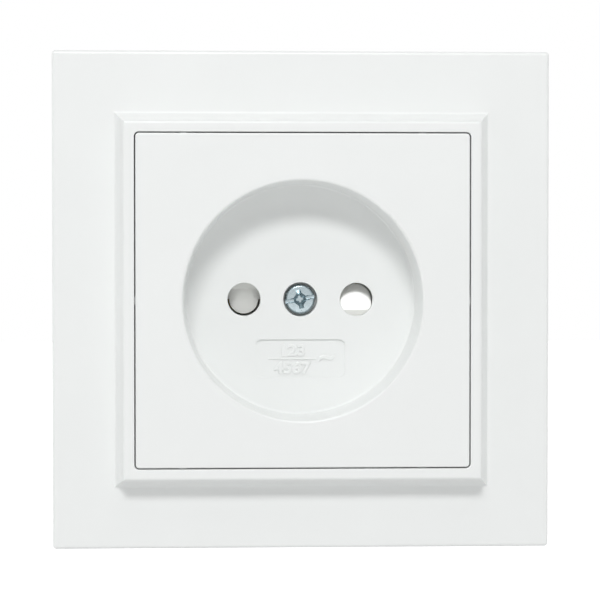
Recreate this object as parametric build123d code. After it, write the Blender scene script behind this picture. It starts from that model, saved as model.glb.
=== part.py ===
from build123d import *
import os
from math import cos, radians, sin, sqrt, tan

# Flush wall socket for two round pins, with a turning child-protection shutter and spreading claws.
# Millimetres. Each piece is drawn face up: the wall plane is z = 0 and z grows towards the room.
# save() turns it upright, so that +Z is up, +X is right and the room lies towards -Y.

# Sizes set by plugs and by wall boxes
PIN_SPACING = 19.0
PIN_HOLE_D = 5.55
PIN_LENGTH = 19.0
BOX_SCREW_SPACING = 60.0
BOX_SLOT_WIDTH = 3.9
BOX_SLOT_LENGTH = 7.0

# Outer frame: a flange on the wall and a raised rim with hollow slopes round the cover
FRAME_SIDE = 82.8
FRAME_CORNER_R = 0.6
FRAME_EDGE_R = 0.6
FRAME_WALL = 1.8
FLANGE_FRONT = 4.5
RIM_FRONT = 9.5
RIM_WIDTH = 1.85
RIM_RUN = 1.5
RIM_HOLLOW = 0.34
RIM_EDGE_R = 0.5
RIM_FOOT_R = 0.45
OPENING_EDGE_R = 0.15
LEDGE_WIDTH = 2.3
LEDGE = 1.4
COLLAR_WALL = 1.6
FRAME_RIB = 1.0
FRAME_RIB_DEPTH = 1.1
FRAME_RIB_PLACE = 15.0

# Cover plate and its plug recess
COVER_SIDE = 55.0
COVER_GAP = 0.2
COVER_CORNER_R = 0.6
COVER_EDGE_R = 0.25
COVER_WALL = 2.0
SKIRT_WALL = 1.5
COVER_RIB = 1.2
CRUSH_RIB_WIDTH = 1.2
CRUSH_RIB_PLACE = 19.7
CRUSH_RIB_SINK = 0.8
CRUSH_RIB_CLEARANCE = 0.05
RECESS_D = 38.9
RECESS_DRAFT = 1.7
RECESS_DEPTH = 10.0
RECESS_EDGE_R = 0.45
RECESS_FLOOR_R = 0.4
CUP_WALL = 1.5
CUP_FLOOR = 1.4
PIN_HOLE_EDGE_R = 0.15
PANEL_WIDTH = 15.0
PANEL_HEIGHT = 6.4
PANEL_CORNER_R = 1.0
PANEL_SINK = 0.35
PANEL_DROP = 9.95

# Screws: heads with a slot, or with a cross whose short arm is a share of the long one
SCREW_CLEARANCE = 0.2
THREAD_CLEARANCE = 0.05
SLOT_WIDTH = 0.8
SLOT_DEPTH = 0.8
CROSS_SHARE = 0.7
HEAD_ROUND_SHARE = 0.33
POINT_SHARE = 0.12

# Cover screw, its hole and its brass insert
SCREW_HOLE_D = 5.75
SCREW_SINK = 1.0
SCREW_D = 3.0
SCREW_HEAD_D = 5.0
SCREW_HEAD = 1.9
SCREW_GRIP = 4.4
BOSS_WALL = 1.3
BOSS_STEP = 0.8
BOSS_CLEARANCE = 0.4
INSERT_D = 4.8
INSERT_LENGTH = 8.0

# Shutter: a hub with two wings whose ramps face opposite ways, the left one hollow, the right one nearly flat
SHUTTER = 4.4
SHUTTER_PLAY = 0.2
SHUTTER_OPENING = 34.0
HUB_D = 10.4
HUB_CLEARANCE = 0.12
WING_MARGIN = 0.05
WING_COVER = 1.8
WING_SHOULDER = 2.0
RAMP_START = 1.8
RIGHT_RAMP_TILT = 17.0
RIGHT_RAMP_HOLLOW = 0.06
RIGHT_END_INSET = 0.175
LEFT_RAMP_TILT = 20.0
LEFT_RAMP_HOLLOW = 0.6
LEFT_END_INSET = 0.3
POST_D = 6.0
STOP_POST_D = 1.8
STOP_CLEARANCE = 0.2
SPRING_WIRE = 0.5
SPRING_BEND_R = 1.3
SPRING_WALL_GAP = 2.5
SPRING_PUSH_X = 8.5
SPRING_BEND_ANGLE = 93.5
SPRING_TIP_ANGLE = 40.0

# Base: an insulating drum behind the yoke, with a flange that is riveted to it
DRUM_INSET = 0.2
BASE_FLANGE_STEP = 4.0
CUP_CLEARANCE = 0.4
POCKET_GAP = 1.55
POCKET_WEB = 2.0
BASE_WEB = 2.0
ENTRY_D = 5.4
LEAF_ROOM = 1.5
CHAMBER_CLEARANCE = 0.1
BAY_FRONT = 1.8
BAY_CLEARANCE = 0.9
ROOF_WALL = 3.8
ROOF_CLEARANCE = 0.4
BACK_CLEARANCE = 1.9
REAR_COVER = 1.6
REAR_COVER_INSET = 0.4
REAR_SCREW_D = 2.0
REAR_SCREW_LENGTH = 8.0
REAR_SCREW_HEAD_D = 4.0
REAR_SCREW_HEAD = 1.4
REAR_SCREW_RISE = 13.5
REAR_SCREW_DROP = 6.6

# Brass contacts, their steel grip springs and the wire terminals
CONTACT = 0.8
CONTACT_WIDTH = 6.8
CONTACT_GAP = 3.6
CONTACT_FLARE = 1.5
CONTACT_BELLY = 1.2
CONTACT_BEND_R = 1.0
GRIP_LENGTH = 3.2
GRIP_SPRING = 0.4
GRIP_SPRING_WIDTH = 2.0
GRIP_SPRING_CLEARANCE = 0.3
TAB_CLEARANCE = 0.5
TERMINAL_D = 3.5
TERMINAL_HEAD_D = 6.0
TERMINAL_HEAD = 2.2
TERMINAL_TRAVEL = 2.0
TERMINAL_CLEARANCE = 0.3
WIRE_SPACE = 2.2
CLAMP = 1.2
CLAMP_LENGTH = 8.0
CLAMP_LIP = 0.9
CLAMP_LIP_CLEARANCE = 0.3

# Yoke: the steel plate that is screwed to the wall box
YOKE = 1.2
YOKE_CUT = 6.0
YOKE_HOLE_CLEARANCE = 0.3
YOKE_LIP_LENGTH = 18.0
YOKE_LIP_CLEARANCE = 0.4
BOX_SLOT_EDGE = 2.0
WALL_HOLE_D = 4.2
WALL_HOLE_INSET = 9.0
RIVET_D = 2.2
RIVET_BORE_D = 1.1
RIVET_HEAD_D = 3.0
RIVET_HEAD = 0.6

# Claws that swing on lugs of the yoke, and their screws
CLAW = 1.2
CLAW_GAP = 1.7
CLAW_WIDTH = 7.6
CLAW_REACH = 15.0
CLAW_BEND_R = 1.4
CLAW_PRONG = 3.8
CLAW_TOOTH = 1.6
CLAW_SWING = 18.0
CLAW_SIDE_CLEARANCE = 0.4
CLAW_NOTCH_CLEARANCE = 1.6
CLAW_FOOT_EDGE = 0.75
CLAW_FOOT_R = 1.9
TRUNNION_D = 2.0
TRUNNION_CLEARANCE = 0.1
PIVOT_DEPTH = 4.0
LUG_WIDTH = 3.0
CLAW_LEVER = 3.5
CLAW_SCREW_D = 3.0
CLAW_SCREW_HEAD_D = 5.5
CLAW_SCREW_HEAD = 1.8
CLAW_SCREW_OVER = 1.6
HEAD_ROOM = 0.6
HEAD_CLEARANCE = 0.2

# Heights worked out from the sizes above, from the room to the wall box
TINY = 0.01
FLANGE_BACK = FLANGE_FRONT - FRAME_WALL
SEAT = FLANGE_BACK + LEDGE
FLOOR_FRONT = RIM_FRONT - RECESS_DEPTH
FLOOR_BACK = FLOOR_FRONT - CUP_FLOOR
SCREW_SEAT = FLOOR_FRONT - SCREW_SINK - SCREW_HEAD
BOSS_BACK = SCREW_SEAT - BOSS_STEP
LAND = FLOOR_BACK - SHUTTER_PLAY
SHUTTER_BACK = LAND - SHUTTER
HUB_FRONT = BOSS_BACK - SHUTTER_PLAY
POCKET_FLOOR = SHUTTER_BACK - SHUTTER_PLAY
BASE_FRONT = FLOOR_BACK - CUP_CLEARANCE
BASE_FLANGE_BACK = BASE_FRONT - BASE_WEB
CHAMBER_FRONT = POCKET_FLOOR - POCKET_WEB
BAY_Z = CHAMBER_FRONT - BAY_FRONT
CONTACT_MOUTH = CHAMBER_FRONT - CONTACT
CONTACT_BACK = FLOOR_FRONT - PIN_LENGTH - CONTACT
GRIP_MIDDLE = (CONTACT_MOUTH + CONTACT_BACK + GRIP_LENGTH) / 2
TAB_END = BAY_Z - TAB_CLEARANCE
TAB_HOLE_Z = (CONTACT_BACK + TAB_END) / 2
DRUM_BACK = CONTACT_BACK - CONTACT - BACK_CLEARANCE
INSERT_FRONT = DRUM_BACK + INSERT_LENGTH

# Widths and places across the wall worked out from the sizes above
BASE_ALIGN = (Align.CENTER, Align.CENTER, Align.MIN)
DIAGONALS = (45, 135, 225, 315)
PIN_X = PIN_SPACING / 2
OPENING = COVER_SIDE + 2 * COVER_GAP
LEDGE_OPENING = OPENING - 2 * LEDGE_WIDTH
COLLAR_SIDE = LEDGE_OPENING + 2 * COLLAR_WALL
RECESS_MOUTH_R = RECESS_D / 2 + RECESS_DEPTH * tan(radians(RECESS_DRAFT))
CUP_R = RECESS_MOUTH_R + CUP_WALL
BOWL_R = CUP_R + CUP_CLEARANCE
DRUM_R = CUP_R - DRUM_INSET
BASE_FLANGE_R = DRUM_R + BASE_FLANGE_STEP
BOSS_R = SCREW_HOLE_D / 2 + BOSS_WALL
RIGHT_END_R = PIN_HOLE_D / 2 - RIGHT_END_INSET
LEFT_END_R = PIN_HOLE_D / 2 - LEFT_END_INSET
WING_R = PIN_X + RIGHT_END_R + WING_MARGIN
WING_REACH = PIN_HOLE_D / 2 + WING_COVER
POCKET_R = WING_R + POCKET_GAP
CHAMBER_WIDTH = CONTACT_WIDTH + 2 * (GRIP_SPRING_CLEARANCE + GRIP_SPRING + CHAMBER_CLEARANCE)
CHAMBER_HEIGHT = CONTACT_GAP + 2 * (CONTACT_FLARE + CONTACT + LEAF_ROOM)
BAY_ROOF = CHAMBER_HEIGHT / 2 + ROOF_WALL
TAB_TOP = -BAY_ROOF - ROOF_CLEARANCE
CLAMP_TOP = TAB_TOP - CONTACT - WIRE_SPACE
CLAMP_WIDTH = CONTACT_WIDTH + 2 * (CLAMP_LIP + CLAMP_LIP_CLEARANCE)
BAY_WIDTH = CLAMP_WIDTH + 2 * BAY_CLEARANCE
YOKE_SIDE = BOX_SCREW_SPACING + BOX_SLOT_LENGTH + 2 * BOX_SLOT_EDGE
YOKE_HOLE_R = CUP_R + YOKE_HOLE_CLEARANCE
WALL_HOLE_PLACE = YOKE_SIDE / 2 - WALL_HOLE_INSET
RIVET_PLACE = (YOKE_HOLE_R + BASE_FLANGE_R) / 2
PIVOT_X = DRUM_R + CLAW_GAP + CLAW / 2
CLAW_SCREW_X = PIVOT_X + CLAW_LEVER
LUG_INNER = CLAW_WIDTH / 2 + CLAW_SIDE_CLEARANCE
LUG_OUTER = LUG_INNER + YOKE


def slab(sketch, low, high):
    """A plate with this outline, from one height to another."""
    return extrude(Pos(0, 0, low) * sketch, high - low)


def rod(diameter, low, high, x=0.0, y=0.0):
    """A round bar square to the wall."""
    return Pos(x, y, low) * Cylinder(diameter / 2, high - low, align=BASE_ALIGN)


def bar(x, y, z):
    """A block between two limits along each axis."""
    size = [abs(high - low) for low, high in (x, y, z)]
    middle = [(low + high) / 2 for low, high in (x, y, z)]
    return Pos(*middle) * Box(*size)


def square(side, corner):
    return RectangleRounded(side, side, corner)


def across(sketch_plane, diameter, length, place):
    """A round bar along a plane's normal, centred on a place."""
    return Plane(place, x_dir=sketch_plane.x_dir, z_dir=sketch_plane.z_dir) * Cylinder(diameter / 2, length)


def folded_strip(plane, points, bend, thickness, width, side=Side.LEFT):
    """A strip folded along a line of points, with its thickness to one side of that line."""
    line = FilletPolyline(*points, radius=bend)
    outline = line.wire().offset_2d(thickness, side=side, closed=True)
    return extrude(plane * make_face(outline.edges()), width / 2, both=True)


def level_edges(part, height):
    return part.edges().filter_by_position(Axis.Z, height - TINY, height + TINY)


def outside(edge, half_side):
    centre = edge.center()
    return max(abs(centre.X), abs(centre.Y)) > half_side


def screw(diameter, length, head_diameter, head, cross=True):
    """A pan-head screw, head up, with its seat at z = 0."""
    top = rod(head_diameter, 0, head)
    top = fillet(level_edges(top, head), head * HEAD_ROUND_SHARE)
    half_width = SLOT_WIDTH / 2
    slots = bar((-head_diameter, head_diameter), (-half_width, half_width), (head - SLOT_DEPTH, head))
    if cross:
        slots += Rot(0, 0, 90) * scale(slots, by=(CROSS_SHARE, 1, 1))
    shank = rod(diameter, -length, 0)
    shank = chamfer(level_edges(shank, -length), diameter * POINT_SHARE)
    return top + shank - slots


def make_rim(half_top):
    """The raised block of the frame: one section with two hollow slopes, run both ways and mitred."""
    half_foot = half_top + RIM_RUN
    right = SagittaArc((half_foot, FLANGE_FRONT), (half_top, RIM_FRONT), RIM_HOLLOW)
    left = SagittaArc((-half_top, RIM_FRONT), (-half_foot, FLANGE_FRONT), RIM_HOLLOW)
    section = right + Line(right @ 1, left @ 0) + left + Line(left @ 1, right @ 0)
    run = extrude(Plane.XZ * make_face(section), half_foot, both=True)
    return run & Rot(0, 0, 90) * run


def make_outer_frame():
    half_top = OPENING / 2 + RIM_WIDTH
    half_foot = half_top + RIM_RUN
    frame = slab(square(FRAME_SIDE, FRAME_CORNER_R), 0, FLANGE_FRONT) + make_rim(half_top)
    outer_edge = level_edges(frame, FLANGE_FRONT).filter_by(lambda edge: outside(edge, half_foot + TINY))
    frame = fillet(outer_edge, FRAME_EDGE_R)
    frame = fillet(level_edges(frame, RIM_FRONT), RIM_EDGE_R)
    foot = level_edges(frame, FLANGE_FRONT).filter_by(lambda edge: not outside(edge, half_foot + TINY))
    frame = fillet(foot, RIM_FOOT_R)

    frame -= slab(square(OPENING, COVER_CORNER_R + COVER_GAP), SEAT, RIM_FRONT)
    mouth = level_edges(frame, RIM_FRONT).filter_by(lambda edge: not outside(edge, OPENING / 2 + TINY))
    frame = fillet(mouth, OPENING_EDGE_R)
    frame -= slab(square(LEDGE_OPENING, COVER_CORNER_R), 0, SEAT)

    # The back is hollow between the outer wall and a collar that stands on the yoke
    hollow = square(FRAME_SIDE - 2 * FRAME_WALL, FRAME_CORNER_R) - square(COLLAR_SIDE, COVER_CORNER_R)
    frame -= slab(hollow, 0, FLANGE_BACK)
    frame -= slab(square(COLLAR_SIDE, COVER_CORNER_R), 0, YOKE)
    rib_span = (COLLAR_SIDE / 2 - TINY, FRAME_SIDE / 2 - FRAME_WALL + TINY)
    rib_height = (FLANGE_BACK - FRAME_RIB_DEPTH, FLANGE_BACK)
    for place in (-FRAME_RIB_PLACE, FRAME_RIB_PLACE):
        rib = bar(rib_span, (place - FRAME_RIB / 2, place + FRAME_RIB / 2), rib_height)
        for turn in range(4):
            frame += Rot(0, 0, 90 * turn) * rib

    # Notches in the collar leave room for the claw screws' heads
    room = CLAW_SCREW_HEAD_D / 2 + HEAD_ROOM
    notch_top = YOKE + CLAW_SCREW_HEAD + HEAD_CLEARANCE
    notch = bar((CLAW_SCREW_X - room, CLAW_SCREW_X + room), (-room, room), (0, notch_top))
    return frame - notch - Rot(0, 0, 180) * notch


def make_cover_plate():
    back = RIM_FRONT - COVER_WALL
    skirt_inside = square(COVER_SIDE - 2 * SKIRT_WALL, COVER_CORNER_R / 2)
    cover = slab(square(COVER_SIDE, COVER_CORNER_R), SEAT, RIM_FRONT)
    cover = fillet(level_edges(cover, RIM_FRONT), COVER_EDGE_R)
    cover -= slab(skirt_inside, SEAT, back)
    rib_end = (COVER_SIDE - SKIRT_WALL) / 2
    rib = bar((-rib_end, rib_end), (-COVER_RIB / 2, COVER_RIB / 2), ((SEAT + back) / 2, back))
    for turn in DIAGONALS[:2]:
        cover += Rot(0, 0, turn) * rib
    cover += rod(2 * CUP_R, FLOOR_BACK, RIM_FRONT - COVER_EDGE_R)
    recess = Pos(0, 0, FLOOR_FRONT) * Cone(RECESS_D / 2, RECESS_MOUTH_R, RECESS_DEPTH, align=BASE_ALIGN)
    cover -= recess
    cover = fillet(level_edges(cover, FLOOR_FRONT).filter_by(GeomType.CIRCLE), RECESS_FLOOR_R)
    cover = fillet(level_edges(cover, RIM_FRONT).filter_by(GeomType.CIRCLE), RECESS_EDGE_R)

    # The boss that takes the cover screw, the pin holes and the sunk rating panel
    cover += rod(2 * BOSS_R, BOSS_BACK, FLOOR_BACK)
    cover -= rod(SCREW_HOLE_D, SCREW_SEAT, FLOOR_FRONT)
    cover -= rod(SCREW_D + 2 * SCREW_CLEARANCE, BOSS_BACK, SCREW_SEAT)
    for x in (-PIN_X, PIN_X):
        cover -= rod(PIN_HOLE_D, FLOOR_BACK, FLOOR_FRONT, x)
    holes = level_edges(cover, FLOOR_FRONT).filter_by(GeomType.CIRCLE)
    cover = fillet(holes.filter_by(lambda edge: edge.radius < SCREW_HOLE_D), PIN_HOLE_EDGE_R)
    panel = Pos(0, -PANEL_DROP) * RectangleRounded(PANEL_WIDTH, PANEL_HEIGHT, PANEL_CORNER_R)
    cover -= slab(panel, FLOOR_FRONT - PANEL_SINK, FLOOR_FRONT)

    # Small ribs low on the skirt centre the plate in the frame
    side = (COVER_SIDE / 2 - TINY, COVER_SIDE / 2 + COVER_GAP - CRUSH_RIB_CLEARANCE)
    crush = bar(side, (-CRUSH_RIB_WIDTH / 2, CRUSH_RIB_WIDTH / 2), (SEAT, RIM_FRONT - CRUSH_RIB_SINK))
    for turn in (90, 270):
        for place in (-CRUSH_RIB_PLACE, CRUSH_RIB_PLACE):
            cover += Rot(0, 0, turn) * Pos(0, place, 0) * crush
    for turn in (0, 180):
        cover += Rot(0, 0, turn) * crush
    return cover


def make_cover_screw():
    length = SCREW_SEAT - INSERT_FRONT + SCREW_GRIP
    return Pos(0, 0, SCREW_SEAT) * screw(SCREW_D, length, SCREW_HEAD_D, SCREW_HEAD)


def make_centre_insert():
    bore = SCREW_D + 2 * THREAD_CLEARANCE
    return rod(INSERT_D, DRUM_BACK, INSERT_FRONT) - rod(bore, DRUM_BACK, INSERT_FRONT)


def make_wing(tilt, hollow, end_radius):
    """A wing to the right: an arm, a land below the pin hole and a tongue over it with a hollow ramp."""
    inner_end = PIN_X - PIN_HOLE_D / 2
    land = Pos(WING_R / 2, -WING_REACH / 2) * Rectangle(WING_R, WING_REACH)
    arm = Pos(inner_end / 2, WING_SHOULDER / 2) * Rectangle(inner_end, WING_SHOULDER)
    tongue = Pos(PIN_X, 0) * Circle(end_radius)
    wing = slab((land + arm + tongue) & Circle(WING_R), SHUTTER_BACK, LAND)
    run = RAMP_START + end_radius + TINY
    start, above = (-RAMP_START, LAND), (run - RAMP_START, LAND)
    end = (run - RAMP_START, LAND - run * tan(radians(tilt)))
    scoop = SagittaArc(end, start, hollow) + Line(start, above) + Line(above, end)
    return wing - Pos(HUB_D / 2, 0, 0) * extrude(Plane.YZ * make_face(scoop), WING_R)


def make_shutter():
    hub = rod(HUB_D, SHUTTER_BACK, HUB_FRONT)
    right_wing = make_wing(RIGHT_RAMP_TILT, RIGHT_RAMP_HOLLOW, RIGHT_END_R)
    left_wing = Rot(0, 0, 180) * make_wing(LEFT_RAMP_TILT, LEFT_RAMP_HOLLOW, LEFT_END_R)
    shutter = hub + right_wing + left_wing
    shutter -= rod(2 * (BOSS_R + BOSS_CLEARANCE), HUB_FRONT, LAND)
    return shutter - rod(POST_D + 2 * HUB_CLEARANCE, SHUTTER_BACK, LAND)


def around(radius, turn):
    """A point at this radius about the middle, at this angle in degrees from the right."""
    return Vector(radius * cos(radians(turn)), radius * sin(radians(turn)))


def spring_points():
    """The spring's two tips and its corner: one leg on the left wing, the other on a post."""
    lift = (SPRING_WIRE + STOP_CLEARANCE) / 2
    reach = POCKET_R - SPRING_WALL_GAP
    wing_tip = Vector(-SPRING_PUSH_X, WING_REACH + lift)
    return wing_tip, around(reach, SPRING_BEND_ANGLE), around(reach, SPRING_TIP_ANGLE)


def spring_post_places():
    """The post inside the spring's bend, and the post under its fixed leg."""
    wing_tip, corner, post_tip = spring_points()
    one = (wing_tip - corner).normalized()
    two = (post_tip - corner).normalized()
    half_angle = radians(one.get_angle(two) / 2)
    bend_post = corner + (one + two).normalized() * (SPRING_BEND_R / sin(half_angle))
    below = Vector(two.Y, -two.X)
    step = (STOP_POST_D + SPRING_WIRE) / 2 + THREAD_CLEARANCE
    leg_post = post_tip - two * STOP_POST_D + below * step
    return bend_post, leg_post


def stop_post_places():
    """A post over the right shoulder stops the shutter shut, and one below stops it open."""
    gap = STOP_POST_D / 2 + STOP_CLEARANCE
    shut_y = WING_SHOULDER + gap
    shut = Vector(sqrt((HUB_D / 2 + STOP_CLEARANCE + gap) ** 2 - shut_y ** 2), shut_y)
    along = around(WING_R - STOP_POST_D, -SHUTTER_OPENING)
    square_to = around(WING_REACH + gap, -SHUTTER_OPENING - 90)
    return shut, along + square_to


def make_shutter_spring():
    path = FilletPolyline(*spring_points(), radius=SPRING_BEND_R)
    section = Plane(path @ 0, z_dir=path % 0) * Circle(SPRING_WIRE / 2)
    return Pos(0, 0, (SHUTTER_BACK + LAND) / 2) * sweep(section, path)


def make_base():
    drum = rod(2 * DRUM_R, DRUM_BACK, BASE_FRONT)
    flange = rod(2 * BASE_FLANGE_R, BASE_FLANGE_BACK, 0) - rod(2 * BOWL_R, BASE_FRONT, 0)
    claw_room = LUG_OUTER + CLAW_NOTCH_CLEARANCE
    for side in (-1, 1):
        limits = (side * DRUM_R, side * BASE_FLANGE_R)
        flange -= bar(limits, (-claw_room, claw_room), (BASE_FLANGE_BACK, 0))
    base = drum + flange
    for turn in DIAGONALS:
        base -= Rot(0, 0, turn) * rod(RIVET_D, BASE_FLANGE_BACK, 0, RIVET_PLACE)

    # The shutter's pocket, its post and the stops
    base -= rod(2 * POCKET_R, POCKET_FLOOR, BASE_FRONT)
    base += rod(POST_D, POCKET_FLOOR, HUB_FRONT)
    bend_post, leg_post = spring_post_places()
    bend_post_d = 2 * SPRING_BEND_R - SPRING_WIRE - 2 * THREAD_CLEARANCE
    base += rod(bend_post_d, POCKET_FLOOR, LAND, bend_post.X, bend_post.Y)
    for place in (leg_post, *stop_post_places()):
        base += rod(STOP_POST_D, POCKET_FLOOR, LAND, place.X, place.Y)

    # Pin entries, contact chambers, terminal bays and the slots that the contacts' tails pass
    for x in (-PIN_X, PIN_X):
        chamber = (x - CHAMBER_WIDTH / 2, x + CHAMBER_WIDTH / 2)
        bay = (x - BAY_WIDTH / 2, x + BAY_WIDTH / 2)
        base -= rod(ENTRY_D, CHAMBER_FRONT, POCKET_FLOOR, x)
        base -= bar(chamber, (-CHAMBER_HEIGHT / 2, CHAMBER_HEIGHT / 2), (DRUM_BACK, CHAMBER_FRONT))
        base -= bar(bay, (-DRUM_R, -BAY_ROOF), (DRUM_BACK, BAY_Z))
        base -= bar(chamber, (-BAY_ROOF, -CHAMBER_HEIGHT / 2), (DRUM_BACK, CONTACT_BACK + 2 * CONTACT))
        # The terminal screw's end runs up into a blind bore in the bay's roof
        end_room = TERMINAL_TRAVEL + THREAD_CLEARANCE + TERMINAL_CLEARANCE
        bore_middle = (x, TAB_TOP + end_room / 2, TAB_HOLE_Z)
        base -= across(Plane.XZ, TERMINAL_D + 2 * TERMINAL_CLEARANCE, end_room, bore_middle)
    base -= rod(SCREW_D + 2 * SCREW_CLEARANCE, DRUM_BACK, HUB_FRONT)
    base -= rod(INSERT_D, DRUM_BACK, INSERT_FRONT)
    for y in (REAR_SCREW_RISE, -REAR_SCREW_DROP):
        base -= rod(REAR_SCREW_D, DRUM_BACK, DRUM_BACK + REAR_SCREW_LENGTH, 0, y)
    return base


def make_rear_cover():
    outline = Circle(DRUM_R - REAR_COVER_INSET)
    outline -= Pos(0, -BAY_ROOF - DRUM_R) * Rectangle(2 * DRUM_R, 2 * DRUM_R)
    cover = slab(outline, DRUM_BACK - REAR_COVER, DRUM_BACK)
    for y in (REAR_SCREW_RISE, -REAR_SCREW_DROP):
        cover -= rod(REAR_SCREW_D + 2 * SCREW_CLEARANCE, DRUM_BACK - REAR_COVER, DRUM_BACK, 0, y)
    return cover


def make_rear_screws():
    length = REAR_SCREW_LENGTH + REAR_COVER - SCREW_CLEARANCE
    shank = REAR_SCREW_D - 2 * THREAD_CLEARANCE
    one = Rot(180, 0, 0) * screw(shank, length, REAR_SCREW_HEAD_D, REAR_SCREW_HEAD, cross=False)
    return [Pos(0, y, DRUM_BACK - REAR_COVER) * one for y in (REAR_SCREW_RISE, -REAR_SCREW_DROP)]


def make_contact(x):
    """Two spring leaves that grip the pin, and a tail that ends in the terminal's tab."""
    plane = Plane((x, 0, 0), x_dir=(0, 1, 0), z_dir=(1, 0, 0))
    grip = CONTACT_GAP / 2
    throat = GRIP_MIDDLE + GRIP_LENGTH / 2
    belly = CONTACT_BACK + CONTACT + CONTACT_BEND_R
    leaf = [
        (grip + CONTACT_FLARE, CONTACT_MOUTH),
        (grip, throat),
        (grip, throat - GRIP_LENGTH),
        (grip + CONTACT_BELLY, belly),
        (grip + CONTACT_BELLY, CONTACT_BACK),
    ]
    tail = [(TAB_TOP, CONTACT_BACK), (TAB_TOP, TAB_END)]
    contact = folded_strip(plane, leaf + tail, CONTACT_BEND_R, CONTACT, CONTACT_WIDTH)
    lower_leaf = [(-y, z) for y, z in leaf]
    lower_leaf[-1] = (-leaf[-1][0], CONTACT_BACK - CONTACT / 2)
    contact += folded_strip(plane, lower_leaf, CONTACT_BEND_R, CONTACT, CONTACT_WIDTH, Side.RIGHT)
    hole = TERMINAL_D + 2 * THREAD_CLEARANCE
    return contact - across(Plane.XZ, hole, 4 * CONTACT, (x, TAB_TOP, TAB_HOLE_Z))


def make_grip_spring(side):
    """A steel clip round both leaves, closed on the outer side."""
    reach = CONTACT_GAP / 2 + CONTACT
    outer = PIN_X + CONTACT_WIDTH / 2 + GRIP_SPRING_CLEARANCE
    inner = PIN_X - CONTACT_WIDTH / 2
    points = [(inner, reach), (outer, reach), (outer, -reach), (inner, -reach)]
    clip = folded_strip(Plane((0, 0, GRIP_MIDDLE)), points, GRIP_SPRING, GRIP_SPRING, GRIP_SPRING_WIDTH)
    return clip if side > 0 else Rot(0, 0, 180) * clip


def make_clamp_plate(x):
    """A saddle plate with two lips that keep the wires under it."""
    half = CLAMP_WIDTH / 2
    z = (TAB_HOLE_Z - CLAMP_LENGTH / 2, TAB_HOLE_Z + CLAMP_LENGTH / 2)
    plate = bar((x - half, x + half), (CLAMP_TOP - CLAMP, CLAMP_TOP), z)
    for edge in (-1, 1):
        limits = (x + edge * half, x + edge * (half - CLAMP_LIP))
        plate += bar(limits, (CLAMP_TOP, CLAMP_TOP + CLAMP_LIP), z)
    return plate - across(Plane.XZ, TERMINAL_D + 2 * SCREW_CLEARANCE, 4 * CLAMP, (x, CLAMP_TOP, TAB_HOLE_Z))


def make_terminal_screw(x):
    seat = CLAMP_TOP - CLAMP
    length = TAB_TOP - seat + THREAD_CLEARANCE
    one = screw(TERMINAL_D, length, TERMINAL_HEAD_D, TERMINAL_HEAD)
    return Pos(x, seat, TAB_HOLE_Z) * Rot(90, 0, 0) * one


def make_yoke():
    yoke = slab(chamfer(Rectangle(YOKE_SIDE, YOKE_SIDE).vertices(), YOKE_CUT), 0, YOKE)
    yoke -= rod(2 * YOKE_HOLE_R, 0, YOKE)
    for y in (-BOX_SCREW_SPACING / 2, BOX_SCREW_SPACING / 2):
        slot = Pos(0, y) * Rot(0, 0, 90) * SlotOverall(BOX_SLOT_LENGTH, BOX_SLOT_WIDTH)
        yoke -= slab(slot, 0, YOKE)
    for x in (-WALL_HOLE_PLACE, WALL_HOLE_PLACE):
        for y in (-WALL_HOLE_PLACE, WALL_HOLE_PLACE):
            yoke -= rod(WALL_HOLE_D, 0, YOKE, x, y)
    for turn in DIAGONALS:
        yoke -= Rot(0, 0, turn) * rod(RIVET_D, 0, YOKE, RIVET_PLACE)

    # Two lugs on each side are lanced out of the plate and bent back, and the side edges are turned up
    side = Part()
    lug_x = (PIVOT_X - LUG_WIDTH / 2, PIVOT_X + LUG_WIDTH / 2)
    lug_length = PIVOT_DEPTH + LUG_WIDTH / 2
    windows = rod(CLAW_SCREW_D + 2 * SCREW_CLEARANCE, 0, YOKE, CLAW_SCREW_X)
    for end in (-1, 1):
        lug_y = (end * LUG_INNER, end * LUG_OUTER)
        middle = (PIVOT_X, sum(lug_y) / 2, -PIVOT_DEPTH)
        lug = bar(lug_x, lug_y, (-PIVOT_DEPTH, YOKE)) + across(Plane.XZ, LUG_WIDTH, YOKE, middle)
        side += lug - across(Plane.XZ, TRUNNION_D + 2 * TRUNNION_CLEARANCE, YOKE, middle)
        windows += bar(lug_x, (end * LUG_OUTER, end * (LUG_OUTER + lug_length)), (0, YOKE))
    lip_x = (YOKE_SIDE / 2 - YOKE, YOKE_SIDE / 2)
    side += bar(lip_x, (-YOKE_LIP_LENGTH / 2, YOKE_LIP_LENGTH / 2), (0, FLANGE_BACK - YOKE_LIP_CLEARANCE))
    for turn in (0, 180):
        yoke = yoke - Rot(0, 0, turn) * windows + Rot(0, 0, turn) * side
    return yoke


def make_yoke_rivets():
    rivet = rod(RIVET_D - 2 * THREAD_CLEARANCE, BASE_FLANGE_BACK, YOKE)
    rivet += rod(RIVET_HEAD_D, YOKE, YOKE + RIVET_HEAD)
    rivet += rod(RIVET_HEAD_D, BASE_FLANGE_BACK - RIVET_HEAD, BASE_FLANGE_BACK)
    rivet -= rod(RIVET_BORE_D, BASE_FLANGE_BACK - RIVET_HEAD, YOKE + RIVET_HEAD)
    return [Rot(0, 0, turn) * Pos(RIVET_PLACE, 0, 0) * rivet for turn in DIAGONALS]


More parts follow.
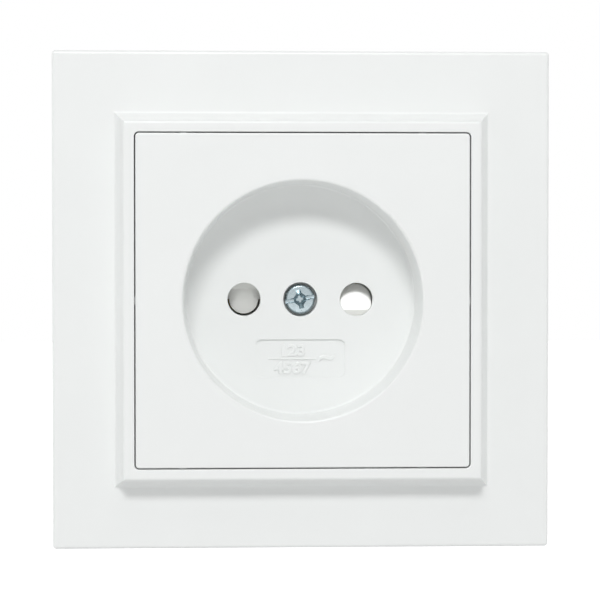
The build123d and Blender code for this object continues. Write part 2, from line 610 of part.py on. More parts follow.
def make_claw():
    """The right claw: a foot for the screw, an arm along the base and a toothed prong."""
    # The foot's slot is long enough for the screw at every angle of the claw
    tilt = radians(CLAW_SWING)
    reach = CLAW_SCREW_D / 2 + SCREW_CLEARANCE
    near = PIVOT_X + (CLAW_LEVER - reach) - CLAW * tan(tilt) / 2
    far = PIVOT_X + (CLAW_LEVER + reach) / cos(tilt) + CLAW * tan(tilt) / 2
    slot = Pos((near + far) / 2, 0) * SlotOverall(far - near, 2 * reach)

    plane = Plane((0, 0, 0), x_dir=(1, 0, 0), z_dir=(0, -1, 0))
    top = -PIVOT_DEPTH + CLAW / 2
    inner = PIVOT_X - CLAW / 2
    rear = -PIVOT_DEPTH - CLAW_REACH
    points = [(far + CLAW_FOOT_EDGE, top), (inner, top), (inner, rear), (inner + CLAW_PRONG, rear)]
    claw = folded_strip(plane, points, CLAW_BEND_R, CLAW, CLAW_WIDTH)
    foot_corners = claw.edges().filter_by(Axis.Z).sort_by(Axis.X)[-2:]
    claw = fillet(foot_corners, CLAW_FOOT_R)
    claw += across(Plane.XZ, TRUNNION_D, 2 * LUG_OUTER, (PIVOT_X, 0, -PIVOT_DEPTH))
    claw -= slab(slot, -PIVOT_DEPTH - CLAW, -PIVOT_DEPTH + CLAW)

    # Two notches leave three teeth
    pitch = CLAW_WIDTH / 3
    tip = inner + CLAW_PRONG
    for y in (-pitch / 2, pitch / 2):
        corners = (tip, y - pitch / 2), (tip - CLAW_TOOTH, y), (tip, y + pitch / 2)
        notch = make_face(Polyline(*corners, close=True))
        claw -= slab(notch, rear, rear + CLAW)
    return claw


def make_claw_screw():
    length = YOKE + PIVOT_DEPTH + CLAW + CLAW_SCREW_OVER
    return Pos(CLAW_SCREW_X, 0, YOKE) * screw(CLAW_SCREW_D, length, CLAW_SCREW_HEAD_D, CLAW_SCREW_HEAD)


def save(name, shape):
    upright = Rot(90, 0, 0)
    solids = shape if isinstance(shape, list) else [shape]
    placed = [upright * solid for solid in solids]
    export_step(placed[0] if len(placed) == 1 else Compound(children=placed), f"parts/{name}.step")


def main():
    os.makedirs("parts", exist_ok=True)
    half_turn = Rot(0, 0, 180)
    claw, claw_screw = make_claw(), make_claw_screw()
    save("outer_frame", make_outer_frame())
    save("cover_plate", make_cover_plate())
    save("cover_screw", make_cover_screw())
    save("centre_insert", make_centre_insert())
    save("shutter", make_shutter())
    save("shutter_spring", make_shutter_spring())
    save("base", make_base())
    save("rear_cover", make_rear_cover())
    save("rear_screws", make_rear_screws())
    for name, side in (("left", -1), ("right", 1)):
        x = side * PIN_X
        save(f"contact_{name}", make_contact(x))
        save(f"grip_spring_{name}", make_grip_spring(side))
        save(f"clamp_plate_{name}", make_clamp_plate(x))
        save(f"terminal_screw_{name}", make_terminal_screw(x))
    save("yoke", make_yoke())
    save("yoke_rivets", make_yoke_rivets())
    save("claw_right", claw)
    save("claw_left", half_turn * claw)
    save("claw_screw_right", claw_screw)
    save("claw_screw_left", half_turn * claw_screw)


if __name__ == "__main__":
    main()
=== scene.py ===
import bmesh
import bpy
from math import cos, pi, radians, sin, tan
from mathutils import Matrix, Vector


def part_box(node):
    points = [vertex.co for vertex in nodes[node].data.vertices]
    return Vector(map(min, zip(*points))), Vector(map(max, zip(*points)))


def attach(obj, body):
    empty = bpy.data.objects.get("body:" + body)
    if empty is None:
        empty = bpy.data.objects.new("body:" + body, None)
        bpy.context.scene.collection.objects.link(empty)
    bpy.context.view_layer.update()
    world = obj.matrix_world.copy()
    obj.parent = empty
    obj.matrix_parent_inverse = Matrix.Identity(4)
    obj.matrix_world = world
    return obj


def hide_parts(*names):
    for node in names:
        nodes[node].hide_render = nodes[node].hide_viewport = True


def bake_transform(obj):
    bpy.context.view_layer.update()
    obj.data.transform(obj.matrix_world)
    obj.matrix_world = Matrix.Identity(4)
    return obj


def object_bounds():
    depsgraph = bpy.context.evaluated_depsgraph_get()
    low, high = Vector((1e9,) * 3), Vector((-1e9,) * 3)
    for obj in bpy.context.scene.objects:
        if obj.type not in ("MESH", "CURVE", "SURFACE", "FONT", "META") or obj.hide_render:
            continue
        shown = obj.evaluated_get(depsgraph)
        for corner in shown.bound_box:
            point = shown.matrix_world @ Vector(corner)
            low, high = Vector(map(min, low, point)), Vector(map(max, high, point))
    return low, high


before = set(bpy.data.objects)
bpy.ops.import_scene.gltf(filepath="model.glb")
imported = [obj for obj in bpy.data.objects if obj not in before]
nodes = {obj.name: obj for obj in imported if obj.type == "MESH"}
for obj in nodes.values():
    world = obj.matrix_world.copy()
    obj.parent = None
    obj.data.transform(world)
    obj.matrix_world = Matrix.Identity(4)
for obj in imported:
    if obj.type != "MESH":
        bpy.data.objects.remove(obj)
cad_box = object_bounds()

MM = 0.001

# The camera stands a little to the left and above, as in the photograph
VIEW_LEFT = radians(2.7)
VIEW_UP = radians(1.3)
VIEW_DISTANCE = 365 * MM
VIEW_NEAREST = 10 * MM
PHOTO_WIDTH_PX = 600
FRONT_PX_PER_MM = 6.09
COVER_FRONT = 9.5 * MM
AIM = Vector((-0.08 * MM, 0, -0.10 * MM))
SENSOR_MM = 36

# Light: a soft key lamp above the front, a wider softbox higher up, a pale room all round
LAMP_DISTANCE = 1.0
KEY_UP = radians(34)
KEY_LEFT = radians(5)
KEY_WIDTH = 0.35
KEY_HEIGHT = 0.18
KEY_POWER = 4.45
TOP_UP = radians(62)
TOP_LEFT = 0.0
TOP_WIDTH = 0.8
TOP_HEIGHT = 0.5
TOP_POWER = 1.4
ROOM_LEFT, ROOM_RIGHT = 1.35, 1.15
ROOM_FRONT, ROOM_BACK = 0.0, 0.9
ROOM_LOW, ROOM_HIGH = 0.05, 0.05
ROOM_EDGE = 1e-4
FLOOR_SIDE = 4.0
FLOOR_GAP = 50 * MM
FLOOR_LIFT = 0.75

# A mix node keeps its colour sockets after its number and vector sockets
COLOUR_A, COLOUR_B, COLOUR_OUT = 6, 7, 2

# Moulded plastic: broad flow shades under a fine grain
PLASTIC_IOR = 1.54
FLOW_MM, FLOW_DETAIL = 18, 2.0
GRAIN_DETAIL = 3.0

# Metal: clouds in the tone, and streaks that change the gloss by this much down and up
METAL_DETAIL = 4.0
GLOSS_DOWN, GLOSS_UP = 0.08, 0.1
STREAK_DEPTH_MM = 0.004

# Screws, in mm: heads with a slot and a cross, and right-hand threads on the CAD shanks
COVER_SCREW = dict(head_d=5.0, height=1.9, edge_round=0.45, thread_d=3.0, pitch=0.5, point=0.5)
TERMINAL_SCREW = dict(head_d=6.0, height=2.2, edge_round=0.35, thread_d=3.5, pitch=0.6, point=0.5)
CLAW_SCREW = dict(head_d=5.5, height=1.8, edge_round=0.4, thread_d=3.0, pitch=0.5, point=0.5)
REAR_SCREW = dict(head_d=4.0, height=1.4, edge_round=0.5, thread_d=1.9, pitch=0.8, point=0.7)
COVER_SCREW_TURN = radians(11)
REAR_SCREW_TURN = radians(30)
HEAD_SIDES = 96
HEAD_EDGE_STEPS = 8
UNDERSIDE_ROUND_SHARE = 0.25
THREAD_STEPS = 36
THREAD_DEPTH_SHARE = 0.58
CREST_LOW, CREST_HIGH = 0.44, 0.56
SPARE_TURNS = 4
WELD = 0.05
CROWN_SHARE, CROWN_RINGS = 0.03, 4
SLOT_LENGTH_SHARE, SLOT_WIDTH_SHARE = 2, 0.14
SLOT_FLOOR_SHARE, SLOT_DEPTH_SHARE = 0.5, 0.42
CROSS_LENGTH_SHARE, CROSS_WIDTH_SHARE = 0.66, 0.17
CROSS_FLOOR_SHARE, CROSS_DEPTH_SHARE = 0.35, 0.75
PIT_TOP_SHARE, PIT_FLOOR_SHARE = 0.3, 0.11
FACE_DOWN, FACE_FRONT, FACE_BACK = pi, pi / 2, -pi / 2

# The shutter's wire spring, in mm from the shutter's axis as seen from the room
SPRING_WIRE = 0.5
SPRING_BEND_R = 1.3
SPRING_POST = Vector((8.58, 7.199, 0))
SPRING_CORNER = Vector((-0.684, 11.179, 0))
SPRING_PUSH = Vector((-8.5, 4.925, 0))
STRAIGHT_HANDLE_SHARE = 1 / 3
WIRE_ROUND_STEPS = 4
WIRE_BEND_STEPS = 16

# The rating panel's raised marks, in mm; the panel's floor lies this far behind the plane of the wall
PANEL_FLOOR = 0.85
MARK_HEIGHT = 0.24
MARK_SINK = 0.05
MARK_ROUND = 0.04

# All meshes: steps of a small rounded edge, the angle above which an edge is sharp, and a very small distance
SMALL_EDGE_STEPS = 3
SMOOTH_ANGLE = radians(35)
NEAR = 1e-4


def linear(hex_code):
    """An sRGB hex colour as linear RGBA."""
    parts = [int(hex_code[i:i + 2], 16) / 255 for i in (0, 2, 4)]
    return [c / 12.92 if c <= 0.04045 else ((c + 0.055) / 1.055) ** 2.4 for c in parts] + [1.0]


def add(tree, kind, inputs=(), **settings):
    """Adds a node, sets its properties, and sets or links its inputs."""
    node = tree.nodes.new(kind)
    for name, value in settings.items():
        setattr(node, name, value)
    for name, value in dict(inputs).items():
        socket = node.inputs[name]
        if isinstance(value, bpy.types.NodeSocket):
            tree.links.new(value, socket)
        else:
            socket.default_value = value
    return node


def new_material(name):
    material = bpy.data.materials.new(name)
    material.use_nodes = True
    tree = material.node_tree
    tree.nodes.clear()
    return material, tree


def finish_material(tree, shader):
    add(tree, "ShaderNodeOutputMaterial", {"Surface": shader})


def moulded_plastic(name, light, dark, rough, gloss_spread, grain_mm, grain_depth_mm):
    """Injection-moulded thermoplastic: an even tone with faint flow shades, and a fine eroded-mould grain.

    A real mould's grain is finer than 0.1 mm, so it is drawn coarser, as it needs to be to show.
    """
    material, tree = new_material(name)
    place = add(tree, "ShaderNodeTexCoord").outputs["Object"]
    flow = add(tree, "ShaderNodeTexNoise", {
        "Vector": place, "Scale": 1 / (FLOW_MM * MM), "Detail": FLOW_DETAIL})
    tone = add(tree, "ShaderNodeMix", {
        0: flow.outputs["Fac"], COLOUR_A: linear(light), COLOUR_B: linear(dark)}, data_type="RGBA")
    grain = add(tree, "ShaderNodeTexNoise", {
        "Vector": place, "Scale": 1 / (grain_mm * MM), "Detail": GRAIN_DETAIL})
    gloss = add(tree, "ShaderNodeMapRange", {
        "Value": grain.outputs["Fac"], "To Min": rough - gloss_spread, "To Max": rough + gloss_spread})
    bump = add(tree, "ShaderNodeBump", {
        "Height": grain.outputs["Fac"], "Strength": 1.0, "Distance": grain_depth_mm * MM})
    shader = add(tree, "ShaderNodeBsdfPrincipled", {
        "Base Color": tone.outputs[COLOUR_OUT], "IOR": PLASTIC_IOR,
        "Roughness": gloss.outputs["Result"], "Normal": bump.outputs["Normal"]})
    finish_material(tree, shader.outputs["BSDF"])
    return material


def bare_metal(name, light, dark, cloud_mm, rough, streak_mm, streak_way):
    """Rolled, drawn or plated metal: a cloudy tone, with streaks along the way that it was worked.

    Real streaks are finer than 0.1 mm too, so they are drawn coarser, as they need to be to show.
    """
    material, tree = new_material(name)
    place = add(tree, "ShaderNodeTexCoord").outputs["Object"]
    clouds = add(tree, "ShaderNodeTexNoise", {
        "Vector": place, "Scale": 1 / (cloud_mm * MM), "Detail": METAL_DETAIL})
    tone = add(tree, "ShaderNodeMix", {
        0: clouds.outputs["Fac"], COLOUR_A: linear(light), COLOUR_B: linear(dark)}, data_type="RGBA")
    stretched = add(tree, "ShaderNodeMapping", {"Vector": place, "Scale": streak_way})
    streaks = add(tree, "ShaderNodeTexNoise", {
        "Vector": stretched.outputs["Vector"], "Scale": 1 / (streak_mm * MM), "Detail": METAL_DETAIL})
    gloss = add(tree, "ShaderNodeMapRange", {
        "Value": streaks.outputs["Fac"], "To Min": rough - GLOSS_DOWN, "To Max": rough + GLOSS_UP})
    bump = add(tree, "ShaderNodeBump", {
        "Height": streaks.outputs["Fac"], "Strength": 1.0, "Distance": STREAK_DEPTH_MM * MM})
    shader = add(tree, "ShaderNodeBsdfPrincipled", {
        "Base Color": tone.outputs[COLOUR_OUT], "Metallic": 1.0,
        "Roughness": gloss.outputs["Result"], "Normal": bump.outputs["Normal"]})
    finish_material(tree, shader.outputs["BSDF"])
    return material


def dress(material, *pieces):
    for piece in pieces:
        piece.data.materials.clear()
        piece.data.materials.append(material)


def dress_nodes(material, *names):
    """Gives CAD nodes their finish."""
    dress(material, *(nodes[name] for name in names))


def pick(kind, test):
    """Selects, in edit mode, the edges or faces whose corners all pass the test."""
    bpy.ops.mesh.select_mode(type=kind)
    bpy.ops.mesh.select_all(action="DESELECT")
    body = bpy.context.object.data
    mesh = bmesh.from_edit_mesh(body)
    for part in {"EDGE": mesh.edges, "FACE": mesh.faces}[kind]:
        part.select_set(all(test(corner.co) for corner in part.verts))
    mesh.select_flush_mode()
    bmesh.update_edit_mesh(body)


def start(piece):
    """Makes a piece the only one selected."""
    bpy.ops.object.select_all(action="DESELECT")
    piece.select_set(True)
    bpy.context.view_layer.objects.active = piece


def apply_place():
    bpy.ops.object.transform_apply(location=True, rotation=True, scale=True)


def combine(piece, other, way):
    """Cuts a second mesh out of a piece, or welds it on, and clears the second mesh away."""
    start(piece)
    bpy.ops.object.modifier_add(type="BOOLEAN")
    change = piece.modifiers[-1]
    change.operation = way
    change.object = other
    change.solver = "EXACT"
    bpy.ops.object.modifier_apply(modifier=change.name)
    bpy.data.objects.remove(other)


def make_wedge(length, width, low, high, floor_share, turn):
    """A bar that narrows towards its floor, as a punch for a screw's slot or cross."""
    bpy.ops.object.select_all(action="DESELECT")
    bpy.ops.mesh.primitive_cube_add(size=1, location=(0, 0, (low + high) / 2), rotation=(0, 0, turn),
                                    scale=(length, width, high - low))
    wedge = bpy.context.object
    apply_place()
    bpy.ops.object.mode_set(mode="EDIT")
    pick("FACE", lambda corner: corner.z < low + NEAR)
    bpy.ops.transform.resize(value=(floor_share, floor_share, 1), center_override=(0, 0, low))
    bpy.ops.object.mode_set(mode="OBJECT")
    return wedge


def make_pit(head_d, low, high, turn):
    """A four-sided taper, its corners towards the arms of the cross."""
    bpy.ops.object.select_all(action="DESELECT")
    bpy.ops.mesh.primitive_cone_add(vertices=4, depth=high - low,
                                    radius1=PIT_FLOOR_SHARE * head_d, radius2=PIT_TOP_SHARE * head_d,
                                    location=(0, 0, (low + high) / 2), rotation=(0, 0, turn))
    pit = bpy.context.object
    apply_place()
    return pit


def make_head(head_d, height, edge_round, turn, slotted):
    """A pan head with a crowned top; a slot and a cross with a tapered middle are punched into it."""
    crown = CROWN_SHARE * height
    rim = height - crown
    bpy.ops.object.select_all(action="DESELECT")
    bpy.ops.mesh.primitive_cylinder_add(vertices=HEAD_SIDES, radius=head_d / 2, depth=rim,
                                        location=(0, 0, rim / 2))
    head = bpy.context.object
    apply_place()
    bpy.ops.object.mode_set(mode="EDIT")
    pick("EDGE", lambda corner: corner.z > rim - NEAR)
    bpy.ops.mesh.bevel(offset=edge_round, segments=HEAD_EDGE_STEPS, affect="EDGES")
    pick("EDGE", lambda corner: corner.z < NEAR)
    bpy.ops.mesh.bevel(offset=edge_round * UNDERSIDE_ROUND_SHARE, segments=SMALL_EDGE_STEPS, affect="EDGES")
    pick("FACE", lambda corner: corner.z > rim - NEAR)
    ring_width = (head_d / 2 - edge_round) / (CROWN_RINGS + 1)
    for ring in range(CROWN_RINGS):
        bpy.ops.mesh.inset(thickness=ring_width)
        lift = crown * (2 * (CROWN_RINGS - ring) + 1) / ((CROWN_RINGS + 1) ** 2 - 1)
        bpy.ops.transform.translate(value=(0, 0, lift))
    bpy.ops.object.mode_set(mode="OBJECT")
    top = height + WELD
    cross_floor = height * (1 - CROSS_DEPTH_SHARE)
    combine(head, make_pit(head_d, cross_floor, top, turn), "DIFFERENCE")
    for way in (turn, turn + pi / 2):
        arm = make_wedge(CROSS_LENGTH_SHARE * head_d, CROSS_WIDTH_SHARE * head_d, cross_floor, top,
                         CROSS_FLOOR_SHARE, way)
        combine(head, arm, "DIFFERENCE")
    if slotted:
        slot_floor = height * (1 - SLOT_DEPTH_SHARE)
        slot = make_wedge(SLOT_LENGTH_SHARE * head_d, SLOT_WIDTH_SHARE * head_d, slot_floor, top,
                          SLOT_FLOOR_SHARE, turn)
        combine(head, slot, "DIFFERENCE")
    return head


def cut_shank(level, way):
    """Cuts a selected shank square at a level and closes it; what lies up (1) or down (-1) of it goes."""
    bpy.ops.mesh.bisect(plane_co=(0, 0, level), plane_no=(0, 0, way), use_fill=True, clear_outer=True,
                        threshold=NEAR)


def make_shank(thread_d, pitch, length, point):
    """A thread profile wound down the shank, cut square under the head and drawn in at the tip."""
    bpy.ops.object.select_all(action="DESELECT")
    bpy.ops.mesh.primitive_plane_add(size=1)
    shank = bpy.context.object
    bpy.ops.object.mode_set(mode="EDIT")
    bpy.ops.mesh.delete(type="ONLY_FACE")
    pick("EDGE", lambda corner: corner.x > 0)
    bpy.ops.mesh.delete(type="EDGE")
    bpy.ops.object.mode_set(mode="OBJECT")
    crest = thread_d / 2
    root = crest - THREAD_DEPTH_SHARE * pitch
    profile = {(1, -1): (root, 0), (-1, -1): (crest, CREST_LOW),
               (-1, 1): (crest, CREST_HIGH), (1, 1): (root, 1)}
    low = -length - pitch
    for corner in shank.data.vertices:
        out, up = profile[round(2 * corner.co.x), round(2 * corner.co.y)]
        corner.co = (out, 0, low + up * pitch)
    bpy.ops.object.modifier_add(type="SCREW")
    winding = shank.modifiers[-1]
    winding.screw_offset = pitch
    winding.iterations = int(length / pitch) + SPARE_TURNS
    winding.steps = winding.render_steps = THREAD_STEPS
    winding.use_merge_vertices = True
    winding.merge_threshold = NEAR
    bpy.ops.object.modifier_apply(modifier=winding.name)
    bpy.ops.object.mode_set(mode="EDIT")
    bpy.ops.mesh.select_all(action="SELECT")
    bpy.ops.mesh.remove_doubles(threshold=NEAR)
    bpy.ops.mesh.normals_make_consistent(inside=False)
    end = -length + point
    cut_shank(end, -1)
    bpy.ops.mesh.select_all(action="SELECT")
    cut_shank(WELD, 1)
    pick("FACE", lambda corner: corner.z < end + NEAR)
    bpy.ops.mesh.extrude_region_move(TRANSFORM_OT_translate={"value": (0, 0, -point)})
    narrow = 1 - 2 * point / thread_d
    bpy.ops.transform.resize(value=(narrow, narrow, 1), center_override=(0, 0, -length))
    bpy.ops.mesh.select_all(action="SELECT")
    bpy.ops.mesh.normals_make_consistent(inside=False)
    bpy.ops.object.mode_set(mode="OBJECT")
    return shank


def make_screw(name, size, length, turn=0.0, slotted=True):
    """A whole screw with its head up and its seat at the origin, in mm."""
    screw = make_head(size["head_d"], size["height"], size["edge_round"], turn, slotted)
    combine(screw, make_shank(size["thread_d"], size["pitch"], length, size["point"]), "UNION")
    screw.name = name
    start(screw)
    bpy.ops.object.shade_smooth_by_angle(angle=SMOOTH_ANGLE)
    return screw


def set_place(piece, place, facing):
    """Brings a piece modelled in mm, face up, to its place in the frame."""
    start(piece)
    piece.scale = (MM, MM, MM)
    piece.rotation_euler = (facing, 0, 0)
    piece.location = place
    apply_place()


def copy_of(piece, name):
    start(piece)
    bpy.ops.object.duplicate()
    copy = bpy.context.object
    copy.name = name
    return copy


def fit(piece, body, slot, *replaced):
    """Says what a finished piece moves with, and hides the plain solid that it stands for; its finish, the
    slot, is not used.
    """
    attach(piece, body)
    if replaced:
        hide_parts(*replaced)


# White polycarbonate from a polished mould: even, cool white with a soft gloss
white = moulded_plastic("white_polycarbonate", light="F2F4F3", dark="EEF0EF", rough=0.3, gloss_spread=0.05,
                        grain_mm=0.25, grain_depth_mm=0.003)
# White acetal of the shutter: slippery, a shade warmer and shinier than the cover
slippery = moulded_plastic("white_acetal", light="F1F2EE", dark="EDEEEA", rough=0.18, gloss_spread=0.03,
                           grain_mm=0.25, grain_depth_mm=0.002)
# Grey polyamide of the base: matt, a little uneven
grey = moulded_plastic("grey_polyamide", light="D9D9D4", dark="CFCFCA", rough=0.5, gloss_spread=0.06,
                       grain_mm=0.3, grain_depth_mm=0.006)
# Blue-passivated zinc on rolled sheet: cool, cloudy, with faint streaks across the plate
zinc = bare_metal("blue_zinc_plated_sheet", light="C6CED4", dark="AEB7BF", cloud_mm=4, rough=0.3,
                  streak_mm=0.35, streak_way=(0.15, 1, 1))
# Blue-passivated zinc on small barrel-plated screws: brighter, with no streaks to speak of
bright_zinc = bare_metal("blue_zinc_plated_screws", light="B6C2C6", dark="98A5AA", cloud_mm=0.8, rough=0.24,
                         streak_mm=0.5, streak_way=(1, 1, 1))
# Drawn and tempered spring steel: dark and bluish, oiled
spring = bare_metal("spring_steel", light="8C8E92", dark="75777B", cloud_mm=3, rough=0.34,
                    streak_mm=0.3, streak_way=(0.2, 1, 1))
# Rolled brass: warm yellow, fine streaks along the strip
brass = bare_metal("rolled_brass", light="DDBE72", dark="C9A65A", cloud_mm=4, rough=0.28,
                   streak_mm=0.3, streak_way=(1, 0.15, 1))

dress_nodes(white, "outer_frame", "cover_plate")
dress_nodes(slippery, "shutter")
dress_nodes(grey, "base", "rear_cover")
dress_nodes(zinc, "yoke", "clamp_plate_left", "clamp_plate_right", "claw_left", "claw_right")
dress_nodes(spring, "grip_spring_left", "grip_spring_right")
dress_nodes(brass, "contact_left", "contact_right", "centre_insert", "yoke_rivets")


def add_cover_screw():
    """The screw in the middle of the recess, its slot left a little off level."""
    low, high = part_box("cover_screw")
    height = COVER_SCREW["height"]
    length = (high[1] - low[1]) / MM - height
    screw = make_screw("cover_screw_cut", COVER_SCREW, length, turn=COVER_SCREW_TURN)
    set_place(screw, (0, low[1] + height * MM, 0), FACE_FRONT)
    dress(bright_zinc, screw)
    fit(screw, "socket", "zinc_steel", "cover_screw")


def add_side_screws(kind, body, size, facing):
    """A pair of like screws, left and right, each on its own body."""
    axis = 2 if facing == FACE_DOWN else 1
    height = size["height"]
    low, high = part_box(f"{kind}_left")
    length = (high[axis] - low[axis]) / MM - height
    left = make_screw(f"{kind}_left_cut", size, length)
    right = copy_of(left, f"{kind}_right_cut")
    for side, screw in (("left", left), ("right", right)):
        node = f"{kind}_{side}"
        low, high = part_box(node)
        place = [(a + b) / 2 for a, b in zip(low, high)]
        place[axis] = low[axis] + height * MM
        set_place(screw, place, facing)
        dress(bright_zinc, screw)
        fit(screw, f"{body}_{side}", "zinc_steel", node)


def add_rear_screws():
    """Two tapping screws that hold the rear cover."""
    low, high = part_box("rear_screws")
    height, radius = REAR_SCREW["height"], REAR_SCREW["head_d"] / 2
    length = (high[1] - low[1]) / MM - height
    upper = make_screw("rear_screw_upper", REAR_SCREW, length, turn=REAR_SCREW_TURN, slotted=False)
    lower = copy_of(upper, "rear_screw_lower")
    middle = (low[0] + high[0]) / 2
    for screw, level in ((upper, high[2] - radius * MM), (lower, low[2] + radius * MM)):
        set_place(screw, (middle, high[1] - height * MM, level), FACE_BACK)
        dress(bright_zinc, screw)
        fit(screw, "socket", "zinc_steel", "rear_screws")


def add_shutter_spring():
    """The wire that turns the shutter back: one leg on its post, a round bend, and the leg that pushes the
    shutter.
    """
    low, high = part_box("shutter_spring")
    depth = (low[1] + high[1]) / 2
    post_way = (SPRING_POST - SPRING_CORNER).normalized()
    push_way = (SPRING_PUSH - SPRING_CORNER).normalized()
    opening = post_way.angle(push_way)
    setback = SPRING_BEND_R / tan(opening / 2)
    post_bend = SPRING_CORNER + post_way * setback
    push_bend = SPRING_CORNER + push_way * setback
    # Handles of this length make the curve follow a circle between the two straight legs
    handle = 4 / 3 * tan((pi - opening) / 4) * SPRING_BEND_R
    shape = ((SPRING_POST, SPRING_POST, SPRING_POST.lerp(post_bend, STRAIGHT_HANDLE_SHARE)),
             (post_bend.lerp(SPRING_POST, STRAIGHT_HANDLE_SHARE), post_bend, post_bend - post_way * handle),
             (push_bend - push_way * handle, push_bend, push_bend.lerp(SPRING_PUSH, STRAIGHT_HANDLE_SHARE)),
             (SPRING_PUSH.lerp(push_bend, STRAIGHT_HANDLE_SHARE), SPRING_PUSH, SPRING_PUSH))
    bpy.ops.object.select_all(action="DESELECT")
    bpy.ops.curve.primitive_bezier_curve_add()
    wire = bpy.context.object
    line = wire.data.splines[0].bezier_points
    line.add(len(shape) - len(line))
    for point, (before, spot, after) in zip(line, shape):
        point.handle_left_type = point.handle_right_type = "FREE"
        point.handle_left, point.co, point.handle_right = before, spot, after
    wire.data.bevel_depth = SPRING_WIRE / 2
    wire.data.bevel_resolution = WIRE_ROUND_STEPS
    wire.data.resolution_u = WIRE_BEND_STEPS
    wire.data.use_fill_caps = True
    bpy.ops.object.convert(target="MESH")
    wire = bpy.context.object
    wire.name = "shutter_spring_bent"
    bpy.ops.object.mode_set(mode="EDIT")
    bpy.ops.mesh.select_all(action="SELECT")
    bpy.ops.mesh.remove_doubles(threshold=NEAR)
    bpy.ops.mesh.normals_make_consistent(inside=False)
    bpy.ops.object.mode_set(mode="OBJECT")
    bpy.ops.object.shade_smooth_by_angle(angle=SMOOTH_ANGLE)
    set_place(wire, (0, depth, 0), FACE_FRONT)
    dress(spring, wire)
    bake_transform(wire)
    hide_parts("shutter_spring")


def raise_mark(mark, name, middle, level):
    """Sets a flat mark, modelled face up in mm, on the floor of the rating panel."""
    mark.name = name
    set_place(mark, (middle * MM, (PANEL_FLOOR + MARK_SINK) * MM, level * MM), FACE_FRONT)
    dress(white, mark)
    fit(mark, "socket", "white_plastic")


def add_numerals(name, digits, height, width, middle, level):
    """Raised numerals of a given height and width."""
    bpy.ops.object.select_all(action="DESELECT")
    bpy.ops.object.text_add()
    text = bpy.context.object
    text.data.body = digits
    text.data.extrude = (MARK_HEIGHT + MARK_SINK) / 2 - MARK_ROUND
    text.data.bevel_depth = MARK_ROUND
    bpy.ops.object.convert(target="MESH")
    mark = bpy.context.object
    corners = [Vector(corner) for corner in mark.bound_box]
    low = Vector([min(c[i] for c in corners) for i in range(3)])
    high = Vector([max(c[i] for c in corners) for i in range(3)])
    mark.location = (-(low.x + high.x) / 2, -(low.y + high.y) / 2, -low.z)
    apply_place()
    mark.scale = (width / (high.x - low.x), height / (high.y - low.y), 1)
    apply_place()
    raise_mark(mark, name, middle, level)


def add_divider(name, length, thickness, middle, level):
    """The thin raised bar between the two rows."""
    bpy.ops.object.select_all(action="DESELECT")
    bpy.ops.mesh.primitive_cube_add(size=1, location=(0, 0, (MARK_HEIGHT + MARK_SINK) / 2),
                                    scale=(length, thickness, MARK_HEIGHT + MARK_SINK))
    apply_place()
    bpy.ops.object.mode_set(mode="EDIT")
    pick("EDGE", lambda corner: corner.z > MARK_HEIGHT)
    bpy.ops.mesh.bevel(offset=MARK_ROUND, segments=SMALL_EDGE_STEPS, affect="EDGES")
    bpy.ops.object.mode_set(mode="OBJECT")
    raise_mark(bpy.context.object, name, middle, level)


add_cover_screw()
add_side_screws("terminal_screw", "terminal", TERMINAL_SCREW, FACE_DOWN)
add_side_screws("claw_screw", "claw_screw", CLAW_SCREW, FACE_FRONT)
add_rear_screws()
add_shutter_spring()
# Places are in mm from the middle of the recess, to the right and up
add_numerals("rating_upper", "123", height=2.0, width=4.0, middle=-1.2, level=-8.6)
add_divider("rating_divider", length=8.1, thickness=0.22, middle=-1.39, level=-10.05)
add_numerals("rating_lower", "4567", height=2.1, width=6.3, middle=-1.39, level=-11.6)
add_numerals("rating_wave", "~", height=1.1, width=2.5, middle=4.5, level=-9.85)


def seen_directly(tree):
    """1 for a ray from the camera, off metal or through glass, and 0 for the light that falls on the part."""
    rays = add(tree, "ShaderNodeLightPath").outputs
    seen = rays["Is Camera Ray"]
    for kind in ("Is Glossy Ray", "Is Transmission Ray"):
        seen = add(tree, "ShaderNodeMath", {0: seen, 1: rays[kind]}, operation="MAXIMUM").outputs[0]
    return seen


def add_room():
    """A pale room that lights the part; seen directly or in metal, it is plain white."""
    world = bpy.data.worlds.new("pale_room")
    bpy.context.scene.world = world
    world.use_nodes = True
    tree = world.node_tree
    tree.nodes.clear()
    way = add(tree, "ShaderNodeTexCoord").outputs["Generated"]
    parts = add(tree, "ShaderNodeSeparateXYZ", {"Vector": way}).outputs
    light = 0.0
    for part, minus, plus in ((parts["X"], ROOM_LEFT, ROOM_RIGHT), (parts["Y"], ROOM_FRONT, ROOM_BACK),
                              (parts["Z"], ROOM_LOW, ROOM_HIGH)):
        wall = add(tree, "ShaderNodeMapRange", {
            "Value": part, "From Min": -ROOM_EDGE, "From Max": ROOM_EDGE, "To Min": minus, "To Max": plus})
        share = add(tree, "ShaderNodeMath", {0: part, 1: part}, operation="MULTIPLY")
        light = add(tree, "ShaderNodeMath", {0: share.outputs[0], 1: wall.outputs["Result"], 2: light},
                    operation="MULTIPLY_ADD").outputs[0]
    level = add(tree, "ShaderNodeMapRange", {"Value": seen_directly(tree), "To Min": light, "To Max": 1.0})
    room = add(tree, "ShaderNodeBackground", {
        "Color": linear("FFFFFF"), "Strength": level.outputs["Result"]})
    add(tree, "ShaderNodeOutputWorld", {"Surface": room.outputs[0]})


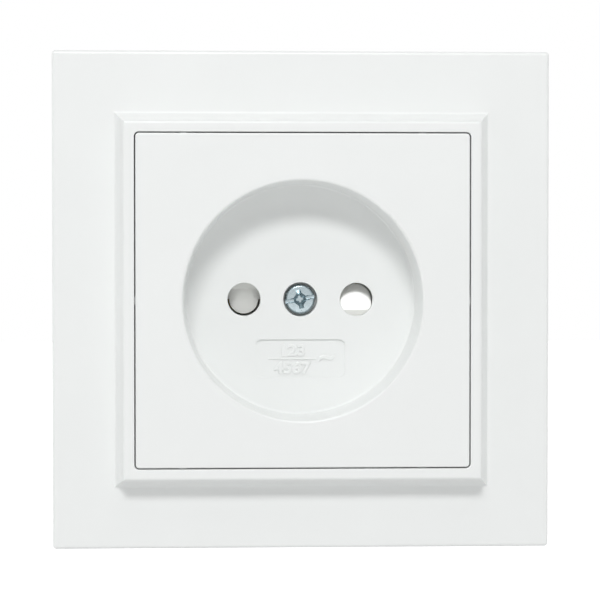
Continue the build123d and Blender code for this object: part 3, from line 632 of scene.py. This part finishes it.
def add_floor():
    """A pale floor under the part, lifted to white for the camera but still darker in shadow."""
    low = cad_box[0][2] - FLOOR_GAP
    bpy.ops.object.select_all(action="DESELECT")
    bpy.ops.mesh.primitive_plane_add(size=FLOOR_SIDE, location=(0, 0, low))
    floor = bpy.context.object
    floor.name = "floor"
    material, tree = new_material("pale_floor")
    lift = add(tree, "ShaderNodeMapRange", {
        "Value": seen_directly(tree), "To Min": 0.0, "To Max": FLOOR_LIFT})
    paint = add(tree, "ShaderNodeBsdfDiffuse", {"Color": linear("EDEDED")})
    glow = add(tree, "ShaderNodeEmission", {"Color": linear("FFFFFF"), "Strength": lift.outputs["Result"]})
    both = add(tree, "ShaderNodeAddShader", {0: paint.outputs[0], 1: glow.outputs[0]})
    finish_material(tree, both.outputs[0])
    dress(material, floor)


def aim_from(thing, target, left, up, distance):
    """Stands a lamp or camera off to the front, turned to the left and up, and aims it at the target."""
    away = Vector((-sin(left) * cos(up), -cos(left) * cos(up), sin(up)))
    thing.location = target + away * distance
    thing.rotation_euler = away.to_track_quat("Z", "Y").to_euler()
    bpy.context.scene.collection.objects.link(thing)


def add_lamp(name, left, up, width, height, power):
    lamp = bpy.data.lights.new(name, "AREA")
    lamp.shape = "RECTANGLE"
    lamp.size = width
    lamp.size_y = height
    lamp.energy = power
    aim_from(bpy.data.objects.new(name, lamp), Vector((0, 0, 0)), left, up, LAMP_DISTANCE)


def add_camera():
    data = bpy.data.cameras.new("camera")
    focal_px = FRONT_PX_PER_MM / MM * (VIEW_DISTANCE - COVER_FRONT)
    data.sensor_width = SENSOR_MM
    data.lens = SENSOR_MM * focal_px / PHOTO_WIDTH_PX
    data.clip_start = VIEW_NEAREST
    camera = bpy.data.objects.new("camera", data)
    aim_from(camera, AIM, VIEW_LEFT, VIEW_UP, VIEW_DISTANCE)
    bpy.context.scene.camera = camera


add_room()
add_floor()
add_lamp("key", KEY_LEFT, KEY_UP, KEY_WIDTH, KEY_HEIGHT, KEY_POWER)
add_lamp("top_softbox", TOP_LEFT, TOP_UP, TOP_WIDTH, TOP_HEIGHT, TOP_POWER)
add_camera()
bpy.context.scene.view_settings.view_transform = "Standard"
